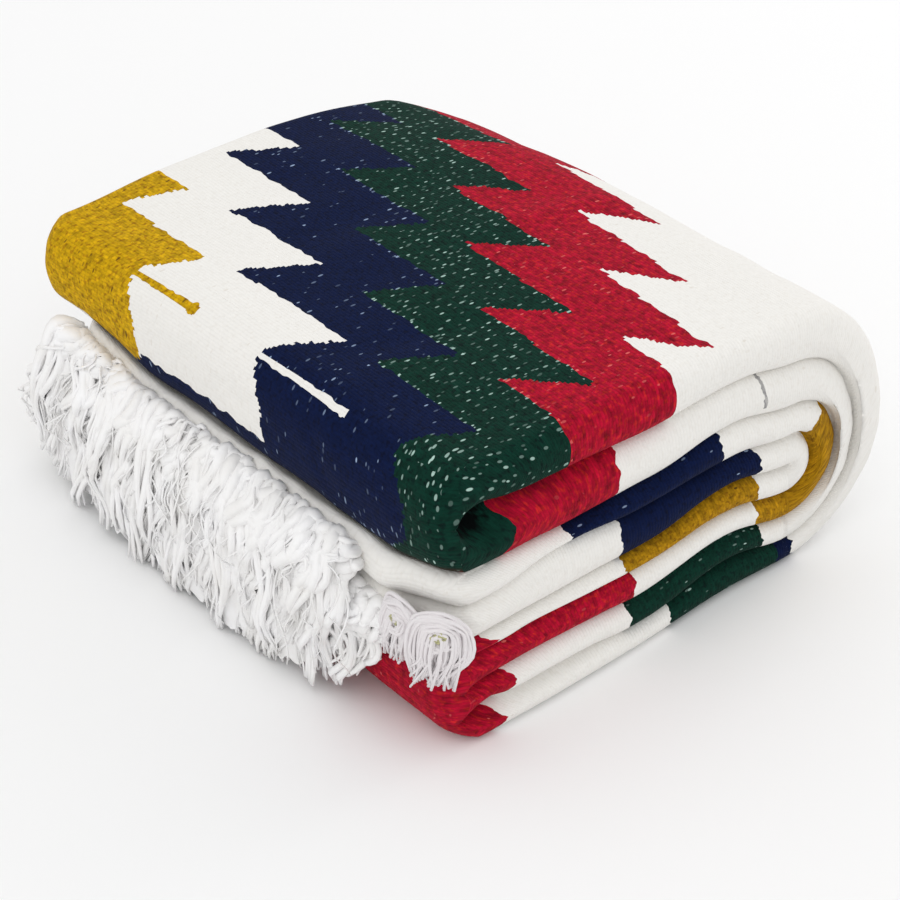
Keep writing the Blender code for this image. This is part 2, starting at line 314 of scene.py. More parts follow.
def lip_drop(x, y, z):
    """How far the lower lip of the middle fold has sagged over the fringe ends at a point."""
    level = 1 - z / PILE_HEIGHT
    front, lip, slot, fold = LIP_LEVELS
    if level <= lip:
        share = smooth(front, lip, level)
    elif level <= slot:
        share = 1 - 0.35 * (level - lip) / (slot - lip)
    else:
        share = 0.65 * max(0.0, 1 - (level - slot) / (fold - slot))
    weft = PILE_WIDTH / 2 - y
    amount = LIP_DROP * smooth(*LIP_START, weft) * (1 - 0.7 * smooth(*LIP_END, weft))
    return amount * share * (1 - smooth(0.014, 0.060, x))


def place(x, y, z):
    """A point of the pile after its corners are rounded and the cloth has settled."""
    half = PILE_WIDTH / 2
    level = 1 - z / PILE_HEIGHT
    weft = half - y
    slot = smooth(*SLOT_LEVELS[:2], level) * (1 - smooth(*SLOT_LEVELS[2:], level))
    x += FAR_SLOT_INSET * slot * (1 - smooth(*FAR_SLOT_RUN, weft)) * (1 - smooth(0.02, 0.09, x))
    z -= lip_drop(x, y, z)
    far = y > 0
    left_radius = CORNER_LEFT[far] + LOW_CORNER * far * smooth(0.30, 0.42, level)
    for radius, end, inward in ((left_radius, 0.0, 1), (CORNER_RIGHT[far], PILE_LENGTH, -1)):
        past = min(radius, max(0.0, abs(y) - (half - radius)))
        inset = radius - math.sqrt(radius * radius - past * past)
        x += inward * inset * (1 - smooth(0.0, CORNER_RUN, abs(x - end)))
    near_share = max(0.0, -y / half) ** 2
    y -= FOOT * near_share * (1 - z / PILE_HEIGHT) * (1 - smooth(0.05, 0.20, x))
    return Vector((x, y, z * settle(x, y)))


def new_object(name, data):
    obj = bpy.data.objects.new(name, data)
    bpy.context.scene.collection.objects.link(obj)
    return obj


class Shell:
    """The cloth's points and faces, with the cloth's own coordinates at every corner of every face."""

    def __init__(self):
        self.points = []
        self.faces = []
        self.corners = []
        self.materials = []

    def point(self, co):
        self.points.append(co)
        return len(self.points) - 1

    def skin(self, grid, coords, material, flip=False, skip=None):
        """Faces between the lines of a grid of points. material(row, column) names each face's slot."""
        for i in range(len(grid) - 1):
            for j in range(len(grid[0]) - 1):
                if skip and skip(i, j):
                    continue
                keys = [(i, j), (i + 1, j), (i + 1, j + 1), (i, j + 1)]
                if flip:
                    keys.reverse()
                seen = {}
                for a, b in keys:
                    seen.setdefault(grid[a][b], coords[a][b])
                if len(seen) > 2:
                    self.faces.append(tuple(seen))
                    self.corners.extend(seen.values())
                    self.materials.append(material(i, j))

    def build(self, name, slots):
        mesh = bpy.data.meshes.new(name)
        mesh.from_pydata(self.points, [], self.faces)
        for attribute, picked in (("weave", (0, 1, 4)), ("fold", (2, 3, 5))):
            layer = mesh.attributes.new(attribute, "FLOAT_VECTOR", "CORNER")
            values = [(facts + (0.0,))[index] for facts in self.corners for index in picked]
            layer.data.foreach_set("vector", values)
        for material in slots:
            mesh.materials.append(material)
        mesh.polygons.foreach_set("material_index", self.materials)
        mesh.shade_smooth()
        return new_object(name, mesh)


PATTERN, NEAR, FAR, FOLD, PLAIN = range(5)


def cloth_shell():
    """The whole surface of the folded cloth, open in the slot that the fringes come out of."""
    shell = Shell()
    steps = 2 * STEPS_STRAIGHT + STEPS_WRAP
    wrap_end = STEPS_STRAIGHT + STEPS_WRAP
    shares = [(1 - math.cos(math.pi * i / STEPS_ROLL)) / 2 for i in range(STEPS_ROLL)]
    rows = [(turn, share) for turn in range(4) for share in shares] + [(3, 1.0)]
    top = len(rows) - 1
    flat_half = PILE_WIDTH / 2 - ROLL_BULGE
    arc_extra = NOSE_ARC - NOSE_REACH

    def side_point(side, step, row):
        turn, across = rows[row]
        below = step >= wrap_end
        straight = step if step <= STEPS_STRAIGHT else steps - step
        start = left_end(below, turn, across)
        if STEPS_STRAIGHT < step < wrap_end:
            x = WRAP_X
        else:
            run = straight / STEPS_STRAIGHT
            x = start + (WRAP_X - start) * (0.35 * run * run + 0.65 * run)
        inner = boundary(turn, step, x)
        outer = boundary(turn + 1, step, x)
        px = inner[0] + (outer[0] - inner[0]) * across
        pz = inner[1] + (outer[1] - inner[1]) * across
        return px, side * (flat_half + bulge(below, turn, across, px, side)), pz

    def along(step, row, x):
        """(warp, station) of a row at a step."""
        turn, across = rows[row]
        if STEPS_STRAIGHT < step < wrap_end:
            share = (step - STEPS_STRAIGHT) / STEPS_WRAP
            reach = WRAP_REACH[turn] + (WRAP_REACH[turn + 1] - WRAP_REACH[turn]) * across
            radius = (reach + PILE_HEIGHT / 2 * (turn + across) / 4) / 2
            return WRAP_X + arc_extra + radius * math.pi * share, WRAP_X + WRAP_SPAN * share
        if step <= STEPS_STRAIGHT:
            return x + arc_extra, x
        return x + arc_extra, STATIONS - x

    sides = {}
    points = {}
    for side in (-1, 1):
        grid = []
        coords = []
        for step in range(steps + 1):
            line = []
            facts = []
            for row, (turn, across) in enumerate(rows):
                point = side_point(side, step, row)
                points[side, step, row] = point
                warp, station = along(step, row, point[0])
                from_top = ROLL_ARC * (4 - turn - math.acos(1 - 2 * across) / math.pi)
                weft = PILE_WIDTH + from_top if side < 0 else -from_top
                facts.append((warp, weft, station, turn + across, max(warp, AXIS + SIDE_MARGIN)))
                if row == 0 and step > STEPS_STRAIGHT:
                    line.append(grid[min(STEPS_STRAIGHT, steps - step)][0])
                else:
                    line.append(shell.point(place(*point)))
            grid.append(line)
            coords.append(facts)
        sides[side] = grid
        plain = NEAR if side < 0 else FAR
        half = steps // 2
        shell.skin(
            grid, coords, lambda i, j: PATTERN if i < half and rows[j][0] == 3 else plain, flip=side > 0
        )

    def strip(key, point, warp, station, turn):
        """One line of points across the pile, with its coordinates."""
        step, row = key
        x, _, z = point
        y_half = points[1, step, row][1]
        inner = [y_half * (2 * i / STEPS_ACROSS - 1) for i in range(1, STEPS_ACROSS)]
        line = [shell.point(place(x, y, z)) for y in inner]
        wefts = [PILE_WIDTH * (1 - i / STEPS_ACROSS) for i in range(STEPS_ACROSS + 1)]
        facts = [(warp, weft, station, turn, warp) for weft in wefts]
        return [sides[-1][step][row], *line, sides[1][step][row]], facts

    outside = []
    for step in range(steps + 1):
        point = points[-1, step, top]
        outside.append(strip((step, top), point, *along(step, top, point[0]), 4.0))
    shell.skin([line for line, _ in outside], [facts for _, facts in outside], lambda i, j: PATTERN)

    end_rows = [(0, row) for row in range(top, -1, -1)] + [(steps, row) for row in range(1, top + 1)]
    end = []
    warp = NOSE_ARC
    before = None
    for step, row in end_rows:
        x, _, z = points[-1, step, row]
        if before:
            warp -= math.hypot(x - before[0], z - before[1])
        before = (x, z)
        turn, across = rows[row]
        end.append(strip((step, row), points[-1, step, row], warp, 0.0, turn + across))
    middle_fold = sum(1 for turn, _ in rows if turn >= 2)

    def in_slot(i, j):
        """The faces left out behind the fringes, on the crease between c and d."""
        inside = SLOT_MARGIN < j < STEPS_ACROSS - SLOT_MARGIN
        return inside and i < top and 0.8 < rows[top - i][0] + rows[top - i][1] < 1.25

    shell.skin(
        [line for line, _ in end],
        [facts for _, facts in end],
        lambda i, j: PATTERN if i < middle_fold else (PLAIN if i < top else FOLD),
        flip=True,
        skip=in_slot,
    )
    return shell


def operation(name, swapped=False):
    """A method that adds one math node."""

    def method(self, *others):
        values = (self, *others)
        return self.graph.math(name, *(values[::-1] if swapped else values))

    return method


class Value:
    """A number in a node graph. Arithmetic on it adds the nodes that work it out."""

    def __init__(self, graph, socket):
        self.graph = graph
        self.socket = socket

    __add__ = operation("ADD")
    __sub__ = operation("SUBTRACT")
    __rsub__ = operation("SUBTRACT", swapped=True)
    __mul__ = operation("MULTIPLY")
    __truediv__ = operation("DIVIDE")
    __mod__ = operation("MODULO")
    __pow__ = operation("POWER")
    __abs__ = operation("ABSOLUTE")
    __lt__ = operation("LESS_THAN")
    __gt__ = operation("GREATER_THAN")
    at_least = operation("MAXIMUM")
    at_most = operation("MINIMUM")
    floor = operation("FLOOR")
    fract = operation("FRACT")
    root = operation("SQRT")
    sine = operation("SINE")

    def clamped(self):
        """The same number, kept from 0 to 1 by the node that works it out."""
        self.socket.node.use_clamp = True
        return self


class Graph:
    """Short calls that add nodes to a material or a node group."""

    def __init__(self, tree):
        self.tree = tree

    def node(self, kind, inputs=(), **settings):
        made = self.tree.nodes.new(kind)
        for key, value in settings.items():
            setattr(made, key, value)
        for key, value in dict(inputs).items():
            self.feed(value, made.inputs[key])
        return made

    def feed(self, value, socket):
        if isinstance(value, Value):
            value = value.socket
        if isinstance(value, bpy.types.NodeSocket):
            self.tree.links.new(value, socket)
        else:
            socket.default_value = value

    def value(self, kind, inputs=(), output=0, **settings):
        """The number that a new node gives."""
        return Value(self, self.node(kind, inputs, **settings).outputs[output])

    def math(self, name, *values):
        return self.value("ShaderNodeMath", enumerate(values), operation=name)

    def mix(self, factor, first, second):
        """A blend of two colours."""
        inputs = {0: factor, 6: first, 7: second}
        return self.node("ShaderNodeMix", inputs, data_type="RGBA").outputs[2]

    def blend(self, factor, first, second):
        """A blend of two numbers."""
        return self.value("ShaderNodeMix", {0: factor, 2: first, 3: second}, data_type="FLOAT")

    def ramp(self, value, stops, interpolation="CONSTANT"):
        """The colour and the alpha of a ramp with stops (position, RGBA)."""
        made = self.node("ShaderNodeValToRGB", {"Fac": value})
        ramp = made.color_ramp
        ramp.interpolation = interpolation
        while len(ramp.elements) > 1:
            ramp.elements.remove(ramp.elements[-1])
        for index, (position, colour) in enumerate(stops):
            stop = ramp.elements[0] if index == 0 else ramp.elements.new(position)
            stop.position = position
            stop.color = colour
        return made.outputs["Color"], Value(self, made.outputs["Alpha"])

    def noise(self, vector, scale, detail=2.0, roughness=0.5):
        inputs = {"Vector": vector, "Scale": scale, "Detail": detail, "Roughness": roughness}
        return self.value("ShaderNodeTexNoise", inputs, "Fac")

    def combine(self, *values):
        return self.node("ShaderNodeCombineXYZ", enumerate(values)).outputs[0]

    def separate(self, vector):
        return [Value(self, part) for part in self.node("ShaderNodeSeparateXYZ", {0: vector}).outputs]

    def attribute(self, name):
        """The three parts of an attribute of the mesh."""
        return self.separate(self.node("ShaderNodeAttribute", attribute_name=name).outputs["Vector"])

    def random(self, *values):
        """A number from 0 to 1 that is fixed for each set of whole values."""
        vector = self.combine(*values)
        return self.value("ShaderNodeTexWhiteNoise", {"Vector": vector}, "Value", noise_dimensions="3D")

    def ease(self, value, low, high, first, second):
        """first below low, second above high, and a smooth step between them."""
        names = ("Value", "From Min", "From Max", "To Min", "To Max")
        inputs = zip(names, (value, low, high, first, second))
        return self.value("ShaderNodeMapRange", inputs, "Result", interpolation_type="SMOOTHSTEP")

    def off_middle(self, values, middles, radii):
        """The squared distance from the middle of an ellipse, 1 at its edge."""
        offs = [(value - middle) / radius for value, middle, radius in zip(values, middles, radii)]
        return offs[0] * offs[0] + offs[1] * offs[1]

    def surface(self, colour, height, strength, distance):
        """Gives the material's shader its colour and its bumps."""
        shader = self.tree.nodes["Principled BSDF"]
        bump = self.node("ShaderNodeBump", {"Height": height, "Strength": strength, "Distance": distance})
        self.feed(colour, shader.inputs["Base Color"])
        self.feed(bump.outputs["Normal"], shader.inputs["Normal"])


def new_material(name, settings):
    """A material and its graph, with plain values set on its shader."""
    material = bpy.data.materials.new(name)
    material.use_nodes = True
    shader = material.node_tree.nodes["Principled BSDF"]
    for key, value in settings.items():
        shader.inputs[key].default_value = value
    return material, Graph(material.node_tree)


def yarn_level(name):
    """The place of a yarn on the yarn ramps."""
    return (YARN_NAMES.index(name) + 0.5) / YARN_SLOTS


def yarn_group():
    """Turns a yarn's place and the weave's coordinates into a colour and a height of woven yarn."""
    tree = bpy.data.node_groups.new("woven_yarn", "ShaderNodeTree")
    names = ("Yarn", "Warp", "Weft", "Join", "Flecks")
    for name in names:
        tree.interface.new_socket(name, in_out="INPUT", socket_type="NodeSocketFloat")
    tree.interface.new_socket("Color", in_out="OUTPUT", socket_type="NodeSocketColor")
    tree.interface.new_socket("Height", in_out="OUTPUT", socket_type="NodeSocketFloat")
    g = Graph(tree)
    given = g.node("NodeGroupInput").outputs
    yarn, warp, weft, join, flecks = (Value(g, given[name]) for name in names)

    def yarn_ramp(column, alpha):
        first, second = (YARN_COLUMNS.index(name) for name in (column, alpha))
        stops = [(i / YARN_SLOTS, linear(row[first])[:3] + (row[second],)) for i, row in enumerate(YARNS)]
        return g.ramp(yarn, stops)

    base, fleck_share = yarn_ramp("colour", "fleck_share")
    second, mottle = yarn_ramp("second", "mottle")
    fleck, _ = yarn_ramp("fleck", "mottle")

    # Beads of weft over the warp ends, half a gap out of step from pick to pick.
    pick = (warp / PICK).floor()
    along_pick = weft / WARP_GAP + abs(pick) % 2.0 * 0.5
    in_pick = abs((warp / PICK).fract() - 0.5)
    in_bead = abs(along_pick.fract() - 0.5)
    bead = (in_pick**2.0 * -2.6 + in_bead**2.0 * -1.5 + 1.0).clamped()

    where = g.combine(warp, weft)
    lumps = g.noise(where, LUMP_SCALE, 3.0, 0.65)
    slubs = g.noise(where, SPOT_SCALE, 1.0)
    patches = g.noise(where, PATCH_SCALE)
    bead_tone = g.random(pick, along_pick.floor(), 3.0)
    pick_tone = g.random(pick, (weft / TONE_RUN).floor(), 7.0)

    # Warp ends that show between the picks: small ovals along the warp, on two uneven lattices.
    cluster = (1.0 - g.off_middle((warp, weft), CLUSTER, CLUSTER_RADII)).clamped()
    share = (fleck_share + (patches - 0.5) * 1.3) * flecks * 0.8 + join * 0.5
    stand_out = (join * 0.85).at_least(cluster * 0.9)
    larger = join * 0.22 + cluster * 0.42

    def flecks_of(picks, gaps, seed):
        """How much of a lattice's flecks shows, each moved, sized and toned by chance."""
        row_at = warp / (picks * PICK)
        row = row_at.floor()
        column_at = weft / (gaps * WARP_GAP) + g.random(row, seed, 0.0)
        column = column_at.floor()

        def chance(number):
            return g.random(row, column, seed + number)

        from_weft = column_at.fract() - 0.5 + (chance(1) - 0.5) * 0.55
        from_warp = row_at.fract() - 0.5 + (chance(2) - 0.5) * 0.50
        off_warp = from_warp * (picks * PICK / FLECK_SIZE[0])
        off_weft = from_weft * (gaps * WARP_GAP / FLECK_SIZE[1])
        size = chance(3) * 0.65 + 0.72 + larger
        oval = ((size - (off_warp * off_warp + off_weft * off_weft).root()) * 2.6).clamped()
        shows = share > chance(4)
        strength = (chance(5) ** 1.9 * 0.82 + 0.14).at_least(stand_out * (chance(6) + 0.35))
        return (oval * shows * strength).clamped()

    fleck_amount = flecks_of(3, 2.0, 5.0).at_least(flecks_of(4, 1.5, 31.0))

    tone = (bead_tone * 0.45 + lumps * 1.9 + pick_tone * 0.16 - 1.255) * mottle + 1.0
    # Painted shade in the grooves between the weft's beads, stronger on mottled yarns.
    crevice_shade = g.blend(mottle * 0.62 + 0.06, 1.0, (bead * 0.45 + 0.62).clamped())
    spots = ((slubs - 0.52) * 6.0).clamped()
    mixed = g.mix(spots * 0.75, base, second)
    toned = g.node("ShaderNodeVectorMath", {0: mixed, "Scale": tone * crevice_shade}, operation="SCALE")
    colour = g.mix(fleck_amount, toned.outputs[0], fleck)
    height = bead * 0.50 + lumps * (mottle * 0.75 + 0.09) + fleck_amount * -0.15
    g.node("NodeGroupOutput", {"Color": colour, "Height": height})
    return tree


WOVEN_YARN = yarn_group()


def lip_painted_shade(g, warp, weft):
    """How much painted shade a point gets on the underside of the nose's lower lip."""
    edge = g.ease(weft, *LIP_START, *LIP_SHADE)
    return ((edge - warp) / LIP_SHADE_RUN).clamped() * (weft > FAR_STRIP[0]) * LIP_SHADE_STRENGTH


def hollow_painted_shade(g, weft, station, turn):
    """How much painted shade a point gets in the pit between the two upper rolls at the near corner."""
    off = g.off_middle((station, turn), HOLLOW_AT, HOLLOW_RADII)
    ragged_edge = (g.noise(g.combine(station, weft), HOLLOW_SHADE_RAGGED) - 0.5) * 2.6
    return ((ragged_edge + 1.0 - off) * 1.6).clamped() * (weft > PILE_WIDTH / 2)


def grey_slub(g, weft, station, turn):
    """One grey end of yarn that was woven in down the near side of the wrap."""
    uneven = g.noise(g.combine(station, weft), SPOT_SCALE) - 0.5
    off = station - SLUB_STATION - (SLUB_TURNS[1] - turn) * SLUB_LEAN + uneven * SLUB_UNEVEN
    inside = (abs(off) < SLUB_HALF_WIDTH) * (turn > SLUB_TURNS[0]) * (turn < SLUB_TURNS[1])
    return inside * (weft > PILE_WIDTH / 2) * (uneven + 0.62)


def cloth_material(name, yarn_of, flecks=1.0):
    """Woven cloth. yarn_of(graph, warp, weft, station, turn) gives the yarn's place and the joins."""
    material, g = new_material(name, CLOTH_SHADER)
    warp, weft, pattern_warp = g.attribute("weave")
    station, turn, _ = g.attribute("fold")
    yarn, join = yarn_of(g, pattern_warp, weft, station, turn)
    given = {"Yarn": yarn, "Warp": warp, "Weft": weft, "Join": join, "Flecks": flecks}
    woven = g.node("ShaderNodeGroup", given, node_tree=WOVEN_YARN).outputs
    colour = woven["Color"]
    if yarn_of is pattern_yarn:
        # Painted shade under the nose's lower lip, darkening the band colours there.
        colour = g.mix(lip_painted_shade(g, warp, weft), colour, linear(LIP_SHADE_COLOUR))
    colour = g.mix(grey_slub(g, weft, station, turn), colour, linear(SLUB_COLOUR))
    # Painted shade in the pit at the near corner.
    colour = g.mix(hollow_painted_shade(g, weft, station, turn), colour, linear(HOLLOW_SHADE_COLOUR))
    g.surface(colour, woven["Height"], 0.42, BUMP)
    return material


def ragged(g, warp, weft):
    """The weave's coordinates as the weaver turns the yarns: whole picks, with uneven turning points."""
    wave = (g.noise(g.combine(warp * 0.6, weft), 120.0, 1.0) - 0.5) * RAGGED_WARP
    pick = ((warp + wave) / PICK).floor()
    slip = (g.random(pick, 2.0, 0.0) - 0.5) * RAGGED_WEFT
    ends = ((weft + slip) / (WARP_GAP / 2)).floor()
    return (pick + 0.5) * PICK, (ends + 0.5) * (WARP_GAP / 2)


def tooth_line(along, across, start, length, share, pitch, lean):
    """1 past one serrated line, and 1 near it."""
    level = along / length + -start * lean / length + across * (lean / length)
    phase = (across / pitch + -start / pitch - level * share).fract()
    return level > phase, abs(level - phase) < JOIN_REACH


def pattern_yarn(g, warp, weft, station, turn):
    """The serrated bands of the top, the nose and the outer wrap."""
    weft = weft.at_most(PILE_WIDTH + PATTERN_ROLL).at_least(-PATTERN_ROLL)
    along, across = ragged(g, warp, weft)
    behind = along - AXIS
    distance = abs(behind)
    on_nose = behind < 0.0
    on_top = distance.at_least(AXIS_MARGIN)
    drift = across - (distance / NOSE_DRIFT_RUN).clamped() * NOSE_DRIFT
    lower = (distance - NOSE_SHEAR_FROM).at_least(0.0)
    yarn = yarn_level("mustard")
    join = 0.0
    for name, start, length, share, nose_length, nose_lean, nose_pitch, nose_shear, far_shift in BANDS:
        shifted = across + g.ease(across, start - FAR_SHIFT_RUN, start, far_shift, 0.0)
        top = tooth_line(on_top, shifted, start, length, share, TOOTH_PITCH, BAND_LEAN)
        slanted = drift + lower * nose_shear
        nose = tooth_line(distance, slanted, start, nose_length, 0.0, nose_pitch, nose_lean)
        past, near = (g.blend(on_nose, *pair) for pair in zip(top, nose))
        yarn = g.blend(past, yarn, yarn_level(name))
        if name in FLECKED_JOINS:
            join = near.at_least(join)
    from_axis = warp - (AXIS - STEM_FORWARD) + (along - warp) * 0.45
    for name, start, length, half_width, knot_radius in STEMS:
        reach = weft - start
        inside = (abs(from_axis) < reach * STEM_SPREAD + half_width) * (reach > 0.0) * (reach < length)
        to_knot = g.combine(from_axis, reach - (length - knot_radius))
        knot = g.value("ShaderNodeVectorMath", {0: to_knot}, "Value", operation="LENGTH")
        yarn = g.blend(inside.at_least(knot < knot_radius), yarn, yarn_level(name))
    strip = (along < FAR_STRIP[1]) * (across < FAR_STRIP[0])
    yarn = g.blend(strip, yarn, yarn_level("white"))
    below = station > WRAP_X + WRAP_SPAN / 2
    yarn = g.blend(below, yarn, band_ramp(g, station, NEAR_BANDS[3]))
    return yarn, join * (1.0 - below)


def band_ramp(g, station, bands, length=STATIONS):
    """The yarn's place at a station, from a row of bands that each give where they end."""
    starts = [0.0] + [end for _, end in bands[:-1]]
    stops = [(start / length, (yarn_level(name),) * 3 + (1.0,)) for start, (name, _) in zip(starts, bands)]
    return g.ramp(station / length, stops)[0]


def side_yarn(tables):
    """The bands of one long side, from its table of turns."""

    def yarn_of(g, warp, weft, station, turn):
        bent = station + (g.noise(g.combine(station * 0.3, weft), 150.0) - 0.5) * RAGGED_SIDE
        level = band_ramp(g, bent, tables[0])
        for index in (1, 2, 3):
            level = g.blend(turn > float(index), level, band_ramp(g, bent, tables[index]))
        return level, 0.0

    return yarn_of


def fold_yarn(g, warp, weft, station, turn):
    """The front of the lower fold, with white behind the fringes."""
    return band_ramp(g, weft, FOLD_BANDS, FOLD_BANDS[-1][1]), 0.0


def plain_yarn(g, warp, weft, station, turn):
    """The plain white ends of the cloth."""
    return yarn_level("white"), 0.0


# Main creases, as X, distance from the far side and height of both ends, then depth and width.
# A negative depth is a ridge.
CREASES = (
    ((0.012, 0.306, 0.1175), (0.050, 0.318, 0.1165), 0.0026, 0.0050),
    ((0.020, 0.040, 0.140), (0.120, 0.062, 0.148), 0.0011, 0.010),
    ((0.070, 0.120, 0.150), (0.205, 0.098, 0.150), 0.0014, 0.014),
    ((0.030, 0.205, 0.146), (0.115, 0.232, 0.150), 0.0009, 0.009),
    ((0.150, 0.160, 0.150), (0.255, 0.178, 0.138), -0.0013, 0.012),
    ((0.185, 0.240, 0.146), (0.262, 0.262, 0.130), 0.0015, 0.010),
    ((0.110, 0.285, 0.146), (0.215, 0.300, 0.144), 0.0012, 0.008),
    ((0.215, 0.030, 0.132), (0.270, 0.120, 0.110), 0.0012, 0.012),
    ((0.000, 0.055, 0.122), (0.012, 0.068, 0.141), 0.0009, 0.007),
    ((0.000, 0.128, 0.112), (0.010, 0.141, 0.138), 0.0011, 0.008),
    ((0.001, 0.236, 0.105), (0.008, 0.224, 0.136), 0.0010, 0.007),
    ((0.284, 0.060, 0.060), (0.272, 0.085, 0.104), 0.0012, 0.009),
    ((0.284, 0.170, 0.045), (0.276, 0.150, 0.100), -0.0012, 0.011),
    ((0.283, 0.232, 0.050), (0.270, 0.245, 0.096), 0.0014, 0.008),
    ((0.040, 0.318, 0.086), (0.105, 0.319, 0.092), 0.0013, 0.004),
    ((0.018, 0.318, 0.080), (0.060, 0.319, 0.079), -0.0010, 0.004),
    ((0.030, 0.318, 0.066), (0.082, 0.319, 0.074), 0.0014, 0.005),
    ((0.090, 0.319, 0.079), (0.148, 0.319, 0.094), -0.0012, 0.005),
    ((0.045, 0.318, 0.052), (0.112, 0.319, 0.061), 0.0012, 0.004),
    ((0.130, 0.319, 0.108), (0.196, 0.319, 0.114), 0.0014, 0.006),
    ((0.060, 0.318, 0.131), (0.122, 0.318, 0.135), 0.0010, 0.006),
    ((0.165, 0.319, 0.075), (0.214, 0.319, 0.083), 0.0013, 0.005),
    ((0.222, 0.319, 0.104), (0.250, 0.318, 0.086), 0.0013, 0.006),
    ((0.235, 0.318, 0.046), (0.262, 0.318, 0.070), -0.0011, 0.006),
    ((0.022, 0.318, 0.012), (0.098, 0.318, 0.019), 0.0015, 0.005),
    ((0.110, 0.318, 0.026), (0.176, 0.318, 0.034), 0.0012, 0.005),
    ((0.036, -0.002, 0.084), (0.118, -0.003, 0.092), 0.0013, 0.005),
    ((0.092, -0.003, 0.070), (0.170, -0.003, 0.080), -0.0011, 0.005),
    ((0.140, -0.003, 0.108), (0.204, -0.003, 0.112), 0.0014, 0.006),
    ((0.028, -0.002, 0.050), (0.090, -0.002, 0.056), 0.0012, 0.005),
    ((0.120, -0.003, 0.030), (0.200, -0.003, 0.040), 0.0013, 0.005),
    ((0.210, -0.003, 0.060), (0.250, -0.002, 0.082), 0.0012, 0.006),
    ((0.050, -0.002, 0.128), (0.110, -0.002, 0.131), 0.0010, 0.006),
)
CREASE_LINES = [
    (Vector((a[0], PILE_WIDTH / 2 - a[1], a[2])), Vector((b[0], PILE_WIDTH / 2 - b[1], b[2])), depth, width)
    for a, b, depth, width in CREASES
]


def crease_depth(point, normal):
    """Slow rises, small rumples and the listed creases of the settled cloth, along its normal."""
    slow = noise.noise(point * 22.0) * 0.0009
    quick = noise.noise(Vector((point.x * 34.0, point.y * 60.0, point.z * 90.0))) * 0.0006
    depth = slow + quick * (1.0 - 0.6 * abs(normal.z))
    for start, end, deep, width in CREASE_LINES:
        reach = 2.2 * width
        if any(not min(a, b) - reach < at < max(a, b) + reach for a, b, at in zip(start, end, point)):
            continue
        line = end - start
        t = min(1.0, max(0.0, (point - start).dot(line) / line.length_squared))
        off = (point - start - line * t).length / width
        depth -= deep * math.exp(-off * off) * math.sin(math.pi * (0.1 + 0.8 * t))
    return depth


def soften(obj):
    """Rumple the shell a little, keeping what rests on the floor flat."""
    mesh = obj.data
    moves = [(vert.co.copy(), vert.normal.copy()) for vert in mesh.vertices]
    for vert, (point, normal) in zip(mesh.vertices, moves):
        lift = min(1.0, point.z / 0.01)
        vert.co = point + normal * (crease_depth(point, normal) * lift)
        vert.co.z = max(vert.co.z, 0.0)


def add_cloth():
    materials = [
        cloth_material("serape_bands", pattern_yarn),
        cloth_material("serape_near_side", side_yarn(NEAR_BANDS), 0.30),
        cloth_material("serape_far_side", side_yarn(FAR_BANDS), 0.30),
        cloth_material("serape_lower_fold", fold_yarn, 0.5),
        cloth_material("serape_plain", plain_yarn),
    ]
    obj = cloth_shell().build("woven_serape", materials)
    soften(obj)
    return finish_piece(obj, "serape_cloth")


# The fringes: the pass each hangs from, where its woven end stands, how much nearer the pile it falls, and
# the layers of its clumps of locks from the top of the woven end down.
FRINGES = {
    "fringe_first_end": {"end_pass": "c", "front": -0.0015, "inward": 0.0, "layers": (0.92, 0.62, 0.25)},
    "fringe_second_end": {"end_pass": "d", "front": 0.0015, "inward": 0.006, "layers": (0.4,)},
}
FRINGE_START = 0.034      # distance from the far side where the locks start
FRINGE_END = 0.258        # where the even fall ends and the near corner's tassels start
CLUMPS = 38              # in each layer
CORNER_CLUMPS = 9        # between the even fall and the tassels
STRANDS = 5              # in a clump
WIDE_STRANDS = 3         # of which are wide and flat
WISPS = 130              # thin stray yarns over the first fringe
UNDERLAY_STEPS = 16      # down and along the inner yarns' surface
UNDERLAY_COLUMNS = 90
LOCK_RADIUS = 0.00178
LOOSE_RADIUS = 0.00080
LOCK_STEPS = 22
LOCK_SIDES = 6
LOOSE_SIDES = 4
TASSEL_YARN = 8.0        # marks the greyer yarns of the tassels
CORE_YARN = 20.0         # marks the olive yarns in the middle of a tassel
FLOOR_CLEARANCE = 0.0018

# How the locks fall, by distance from the far side: how far out the tips lie, how high they end, and how
# far they fan along the weft.
FALL = (
    (0.000, 0.010, 0.016, -0.028),
    (0.035, 0.014, 0.018, -0.024),
    (0.055, 0.0165, 0.004, -0.012),
    (0.110, 0.0215, 0.002, -0.006),
    (0.190, 0.022, 0.002, -0.002),
    (0.225, 0.019, 0.003, -0.004),
    (0.244, 0.016, 0.006, -0.009),
    (0.262, 0.013, 0.018, -0.012),
    (0.315, 0.008, 0.034, -0.002),
)
# Tassels that arch out of the slot at the near corner: X, distance from the far side and height of the
# middle, size, how far they face the near side, and how far their ends lean to the near side.
CURLS = (
    (0.0035, 0.2920, 0.0655, 0.0115, 0.0, -0.40),
    (0.0065, 0.3100, 0.0665, 0.0138, 0.6, -0.25),
)
# A tassel's yarns: the arches ring by ring as size and count, the hanging ones, the loops and the core.
TASSEL_RINGS = ((0.16, 4), (0.32, 6), (0.48, 7), (0.64, 8), (0.82, 8), (1.0, 8))
TASSEL_MIDDLE = 14
TASSEL_LOOPS = 5
TASSEL_CORES = 6
TASSEL_ARCH = tuple((turn, 1.0) for turn in (-72, -36, 0, 36, 72))
TASSEL_LOOP = ((-85, 0.7), (-115, 1.0), (-150, 1.05), (180, 1.1), (150, 1.05), (115, 1.0), (85, 0.7))
TURN = 6.3               # a little over a whole turn, for chance phases


